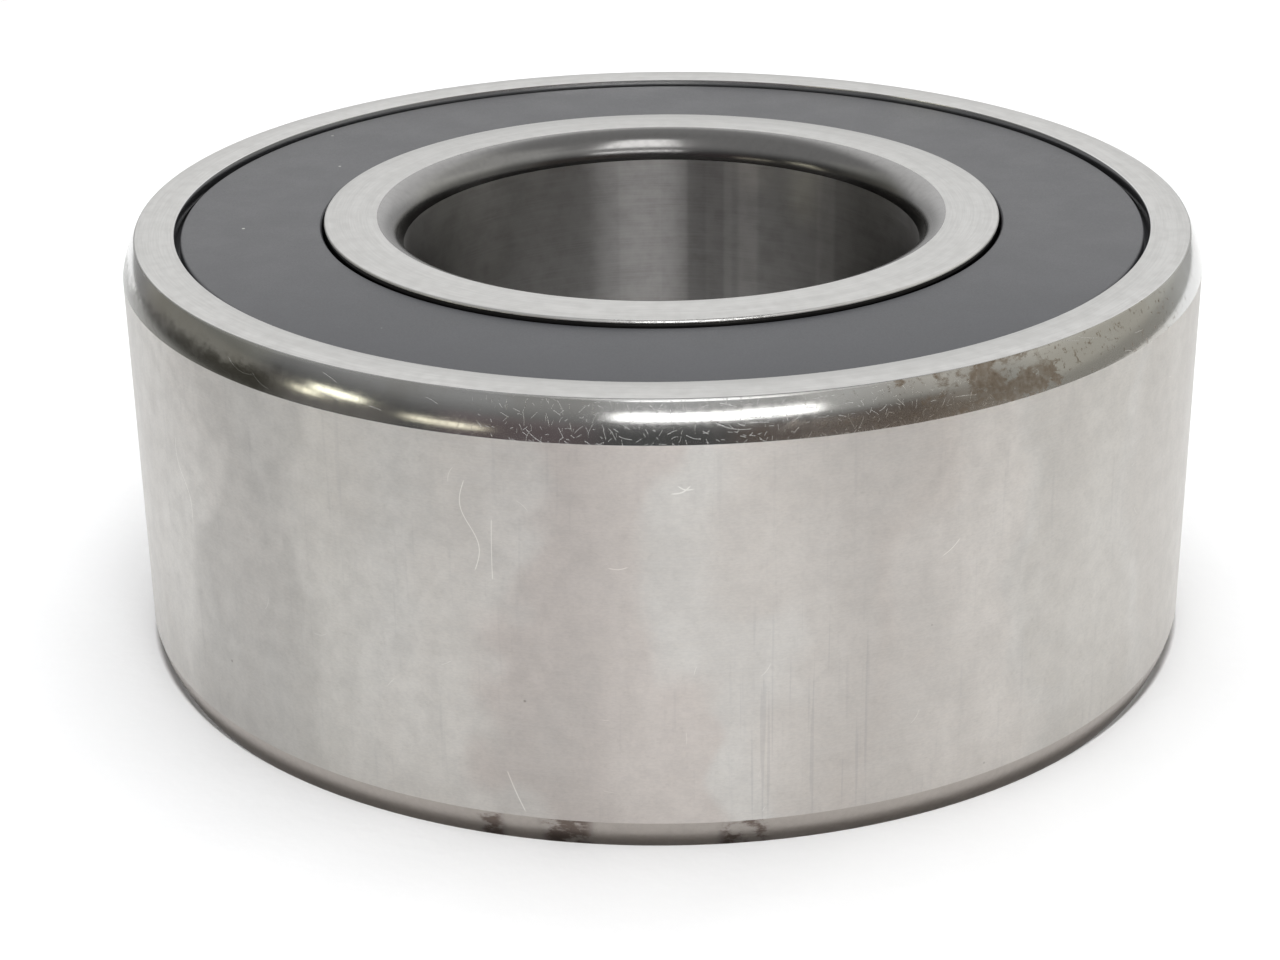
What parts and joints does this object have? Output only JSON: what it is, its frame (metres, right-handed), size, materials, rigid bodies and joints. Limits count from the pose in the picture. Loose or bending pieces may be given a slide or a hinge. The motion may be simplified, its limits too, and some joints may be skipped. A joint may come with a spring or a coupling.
{
  "type": "sealed spherical roller bearing",
  "caption": "Wide sealed self-aligning roller bearing: ground steel rings, barrel rollers in sheet steel cages, and flat black rubber seals.",
  "frame": {"origin": "centre of the bearing: on its axis, halfway between its faces, and the centre of the spherical raceway", "axes": "+Z along the bearing's axis, out of the face that is uppermost in the rest pose; +X and +Y in its middle plane, +X through the first roller of the upper row"},
  "size_m": [0.062, 0.062, 0.025],
  "materials": {
    "ring_steel": "ground hardened bearing steel, pale grey and lightly tarnished",
    "inner_ring_steel": "ground hardened bearing steel with a darker honed bore",
    "roller_steel": "superfinished bearing steel",
    "cage_steel": "pressed and surface treated sheet steel",
    "guide_ring_steel": "sintered iron",
    "stiffener_steel": "plain sheet steel",
    "seal_rubber": "smooth semi-matt nitrile rubber"
  },
  "bodies": {
    "outer_ring": {"outer_ring": "ring_steel", "upper_seal": "seal_rubber", "upper_seal_stiffener": "stiffener_steel", "lower_seal": "seal_rubber", "lower_seal_stiffener": "stiffener_steel"},
    "guide_ring": {"guide_ring": "guide_ring_steel"},
    "inner_ring": {"inner_ring": "inner_ring_steel"},
    "upper_cage": {"upper_cage": "cage_steel"},
    "lower_cage": {"lower_cage": "cage_steel"},
    "upper_roller_01": {"upper_roller_01": "roller_steel"},
    "upper_roller_02": {"upper_roller_02": "roller_steel"},
    "upper_roller_03": {"upper_roller_03": "roller_steel"},
    "upper_roller_04": {"upper_roller_04": "roller_steel"},
    "upper_roller_05": {"upper_roller_05": "roller_steel"},
    "upper_roller_06": {"upper_roller_06": "roller_steel"},
    "upper_roller_07": {"upper_roller_07": "roller_steel"},
    "upper_roller_08": {"upper_roller_08": "roller_steel"},
    "upper_roller_09": {"upper_roller_09": "roller_steel"},
    "upper_roller_10": {"upper_roller_10": "roller_steel"},
    "upper_roller_11": {"upper_roller_11": "roller_steel"},
    "upper_roller_12": {"upper_roller_12": "roller_steel"},
    "upper_roller_13": {"upper_roller_13": "roller_steel"},
    "upper_roller_14": {"upper_roller_14": "roller_steel"},
    "upper_roller_15": {"upper_roller_15": "roller_steel"},
    "lower_roller_01": {"lower_roller_01": "roller_steel"},
    "lower_roller_02": {"lower_roller_02": "roller_steel"},
    "lower_roller_03": {"lower_roller_03": "roller_steel"},
    "lower_roller_04": {"lower_roller_04": "roller_steel"},
    "lower_roller_05": {"lower_roller_05": "roller_steel"},
    "lower_roller_06": {"lower_roller_06": "roller_steel"},
    "lower_roller_07": {"lower_roller_07": "roller_steel"},
    "lower_roller_08": {"lower_roller_08": "roller_steel"},
    "lower_roller_09": {"lower_roller_09": "roller_steel"},
    "lower_roller_10": {"lower_roller_10": "roller_steel"},
    "lower_roller_11": {"lower_roller_11": "roller_steel"},
    "lower_roller_12": {"lower_roller_12": "roller_steel"},
    "lower_roller_13": {"lower_roller_13": "roller_steel"},
    "lower_roller_14": {"lower_roller_14": "roller_steel"},
    "lower_roller_15": {"lower_roller_15": "roller_steel"}
  },
  "joints": [
    {"name": "misalignment", "type": "hinge", "parent": "outer_ring", "child": "guide_ring", "pos_m": [0, 0, 0], "axis": [1, 0, 0], "range_deg": [-0.5, 0.5]},
    {"name": "inner_spin", "type": "hinge", "parent": "guide_ring", "child": "inner_ring", "pos_m": [0, 0, 0], "axis": [0, 0, 1], "continuous": true},
    {"name": "upper_cage_spin", "type": "hinge", "parent": "guide_ring", "child": "upper_cage", "pos_m": [0, 0, 0], "axis": [0, 0, 1], "continuous": true},
    {"name": "lower_cage_spin", "type": "hinge", "parent": "guide_ring", "child": "lower_cage", "pos_m": [0, 0, 0], "axis": [0, 0, 1], "continuous": true},
    {"name": "upper_roller_01_spin", "type": "hinge", "parent": "upper_cage", "child": "upper_roller_01", "pos_m": [0.02267, 0, 0.00482], "axis": [-0.2079, 0, 0.9781], "continuous": true},
    {"name": "upper_roller_02_spin", "type": "hinge", "parent": "upper_cage", "child": "upper_roller_02", "pos_m": [0.02071, 0.00922, 0.00482], "axis": [-0.1899, -0.0846, 0.9781], "continuous": true},
    {"name": "upper_roller_03_spin", "type": "hinge", "parent": "upper_cage", "child": "upper_roller_03", "pos_m": [0.01517, 0.01685, 0.00482], "axis": [-0.1391, -0.1545, 0.9781], "continuous": true},
    {"name": "upper_roller_04_spin", "type": "hinge", "parent": "upper_cage", "child": "upper_roller_04", "pos_m": [0.00701, 0.02156, 0.00482], "axis": [-0.0642, -0.1977, 0.9781], "continuous": true},
    {"name": "upper_roller_05_spin", "type": "hinge", "parent": "upper_cage", "child": "upper_roller_05", "pos_m": [-0.00237, 0.02255, 0.00482], "axis": [0.0217, -0.2068, 0.9781], "continuous": true},
    {"name": "upper_roller_06_spin", "type": "hinge", "parent": "upper_cage", "child": "upper_roller_06", "pos_m": [-0.01134, 0.01964, 0.00482], "axis": [0.104, -0.1801, 0.9781], "continuous": true},
    {"name": "upper_roller_07_spin", "type": "hinge", "parent": "upper_cage", "child": "upper_roller_07", "pos_m": [-0.01834, 0.01333, 0.00482], "axis": [0.1682, -0.1222, 0.9781], "continuous": true},
    {"name": "upper_roller_08_spin", "type": "hinge", "parent": "upper_cage", "child": "upper_roller_08", "pos_m": [-0.02218, 0.00471, 0.00482], "axis": [0.2034, -0.0432, 0.9781], "continuous": true},
    {"name": "upper_roller_09_spin", "type": "hinge", "parent": "upper_cage", "child": "upper_roller_09", "pos_m": [-0.02218, -0.00471, 0.00482], "axis": [0.2034, 0.0432, 0.9781], "continuous": true},
    {"name": "upper_roller_10_spin", "type": "hinge", "parent": "upper_cage", "child": "upper_roller_10", "pos_m": [-0.01834, -0.01333, 0.00482], "axis": [0.1682, 0.1222, 0.9781], "continuous": true},
    {"name": "upper_roller_11_spin", "type": "hinge", "parent": "upper_cage", "child": "upper_roller_11", "pos_m": [-0.01134, -0.01964, 0.00482], "axis": [0.104, 0.1801, 0.9781], "continuous": true},
    {"name": "upper_roller_12_spin", "type": "hinge", "parent": "upper_cage", "child": "upper_roller_12", "pos_m": [-0.00237, -0.02255, 0.00482], "axis": [0.0217, 0.2068, 0.9781], "continuous": true},
    {"name": "upper_roller_13_spin", "type": "hinge", "parent": "upper_cage", "child": "upper_roller_13", "pos_m": [0.00701, -0.02156, 0.00482], "axis": [-0.0642, 0.1977, 0.9781], "continuous": true},
    {"name": "upper_roller_14_spin", "type": "hinge", "parent": "upper_cage", "child": "upper_roller_14", "pos_m": [0.01517, -0.01685, 0.00482], "axis": [-0.1391, 0.1545, 0.9781], "continuous": true},
    {"name": "upper_roller_15_spin", "type": "hinge", "parent": "upper_cage", "child": "upper_roller_15", "pos_m": [0.02071, -0.00922, 0.00482], "axis": [-0.1899, 0.0846, 0.9781], "continuous": true},
    {"name": "lower_roller_01_spin", "type": "hinge", "parent": "lower_cage", "child": "lower_roller_01", "pos_m": [0.02218, 0.00471, -0.00482], "axis": [0.2034, 0.0432, 0.9781], "continuous": true},
    {"name": "lower_roller_02_spin", "type": "hinge", "parent": "lower_cage", "child": "lower_roller_02", "pos_m": [0.01834, 0.01333, -0.00482], "axis": [0.1682, 0.1222, 0.9781], "continuous": true},
    {"name": "lower_roller_03_spin", "type": "hinge", "parent": "lower_cage", "child": "lower_roller_03", "pos_m": [0.01134, 0.01964, -0.00482], "axis": [0.104, 0.1801, 0.9781], "continuous": true},
    {"name": "lower_roller_04_spin", "type": "hinge", "parent": "lower_cage", "child": "lower_roller_04", "pos_m": [0.00237, 0.02255, -0.00482], "axis": [0.0217, 0.2068, 0.9781], "continuous": true},
    {"name": "lower_roller_05_spin", "type": "hinge", "parent": "lower_cage", "child": "lower_roller_05", "pos_m": [-0.00701, 0.02156, -0.00482], "axis": [-0.0642, 0.1977, 0.9781], "continuous": true},
    {"name": "lower_roller_06_spin", "type": "hinge", "parent": "lower_cage", "child": "lower_roller_06", "pos_m": [-0.01517, 0.01685, -0.00482], "axis": [-0.1391, 0.1545, 0.9781], "continuous": true},
    {"name": "lower_roller_07_spin", "type": "hinge", "parent": "lower_cage", "child": "lower_roller_07", "pos_m": [-0.02071, 0.00922, -0.00482], "axis": [-0.1899, 0.0846, 0.9781], "continuous": true},
    {"name": "lower_roller_08_spin", "type": "hinge", "parent": "lower_cage", "child": "lower_roller_08", "pos_m": [-0.02267, 0, -0.00482], "axis": [-0.2079, 0, 0.9781], "continuous": true},
    {"name": "lower_roller_09_spin", "type": "hinge", "parent": "lower_cage", "child": "lower_roller_09", "pos_m": [-0.02071, -0.00922, -0.00482], "axis": [-0.1899, -0.0846, 0.9781], "continuous": true},
    {"name": "lower_roller_10_spin", "type": "hinge", "parent": "lower_cage", "child": "lower_roller_10", "pos_m": [-0.01517, -0.01685, -0.00482], "axis": [-0.1391, -0.1545, 0.9781], "continuous": true},
    {"name": "lower_roller_11_spin", "type": "hinge", "parent": "lower_cage", "child": "lower_roller_11", "pos_m": [-0.00701, -0.02156, -0.00482], "axis": [-0.0642, -0.1977, 0.9781], "continuous": true},
    {"name": "lower_roller_12_spin", "type": "hinge", "parent": "lower_cage", "child": "lower_roller_12", "pos_m": [0.00237, -0.02255, -0.00482], "axis": [0.0217, -0.2068, 0.9781], "continuous": true},
    {"name": "lower_roller_13_spin", "type": "hinge", "parent": "lower_cage", "child": "lower_roller_13", "pos_m": [0.01134, -0.01964, -0.00482], "axis": [0.104, -0.1801, 0.9781], "continuous": true},
    {"name": "lower_roller_14_spin", "type": "hinge", "parent": "lower_cage", "child": "lower_roller_14", "pos_m": [0.01834, -0.01333, -0.00482], "axis": [0.1682, -0.1222, 0.9781], "continuous": true},
    {"name": "lower_roller_15_spin", "type": "hinge", "parent": "lower_cage", "child": "lower_roller_15", "pos_m": [0.02218, -0.00471, -0.00482], "axis": [0.2034, -0.0432, 0.9781], "continuous": true}
  ],
  "couplings": [
    {"joint": "upper_cage_spin", "follows": "inner_spin", "ratio": 0.41156},
    {"joint": "lower_cage_spin", "follows": "inner_spin", "ratio": 0.41156},
    {"joint": "upper_roller_01_spin", "follows": "inner_spin", "ratio": -2.6786},
    {"joint": "upper_roller_02_spin", "follows": "inner_spin", "ratio": -2.6786},
    {"joint": "upper_roller_03_spin", "follows": "inner_spin", "ratio": -2.6786},
    {"joint": "upper_roller_04_spin", "follows": "inner_spin", "ratio": -2.6786},
    {"joint": "upper_roller_05_spin", "follows": "inner_spin", "ratio": -2.6786},
    {"joint": "upper_roller_06_spin", "follows": "inner_spin", "ratio": -2.6786},
    {"joint": "upper_roller_07_spin", "follows": "inner_spin", "ratio": -2.6786},
    {"joint": "upper_roller_08_spin", "follows": "inner_spin", "ratio": -2.6786},
    {"joint": "upper_roller_09_spin", "follows": "inner_spin", "ratio": -2.6786},
    {"joint": "upper_roller_10_spin", "follows": "inner_spin", "ratio": -2.6786},
    {"joint": "upper_roller_11_spin", "follows": "inner_spin", "ratio": -2.6786},
    {"joint": "upper_roller_12_spin", "follows": "inner_spin", "ratio": -2.6786},
    {"joint": "upper_roller_13_spin", "follows": "inner_spin", "ratio": -2.6786},
    {"joint": "upper_roller_14_spin", "follows": "inner_spin", "ratio": -2.6786},
    {"joint": "upper_roller_15_spin", "follows": "inner_spin", "ratio": -2.6786},
    {"joint": "lower_roller_01_spin", "follows": "inner_spin", "ratio": -2.6786},
    {"joint": "lower_roller_02_spin", "follows": "inner_spin", "ratio": -2.6786},
    {"joint": "lower_roller_03_spin", "follows": "inner_spin", "ratio": -2.6786},
    {"joint": "lower_roller_04_spin", "follows": "inner_spin", "ratio": -2.6786},
    {"joint": "lower_roller_05_spin", "follows": "inner_spin", "ratio": -2.6786},
    {"joint": "lower_roller_06_spin", "follows": "inner_spin", "ratio": -2.6786},
    {"joint": "lower_roller_07_spin", "follows": "inner_spin", "ratio": -2.6786},
    {"joint": "lower_roller_08_spin", "follows": "inner_spin", "ratio": -2.6786},
    {"joint": "lower_roller_09_spin", "follows": "inner_spin", "ratio": -2.6786},
    {"joint": "lower_roller_10_spin", "follows": "inner_spin", "ratio": -2.6786},
    {"joint": "lower_roller_11_spin", "follows": "inner_spin", "ratio": -2.6786},
    {"joint": "lower_roller_12_spin", "follows": "inner_spin", "ratio": -2.6786},
    {"joint": "lower_roller_13_spin", "follows": "inner_spin", "ratio": -2.6786},
    {"joint": "lower_roller_14_spin", "follows": "inner_spin", "ratio": -2.6786},
    {"joint": "lower_roller_15_spin", "follows": "inner_spin", "ratio": -2.6786}
  ]
}
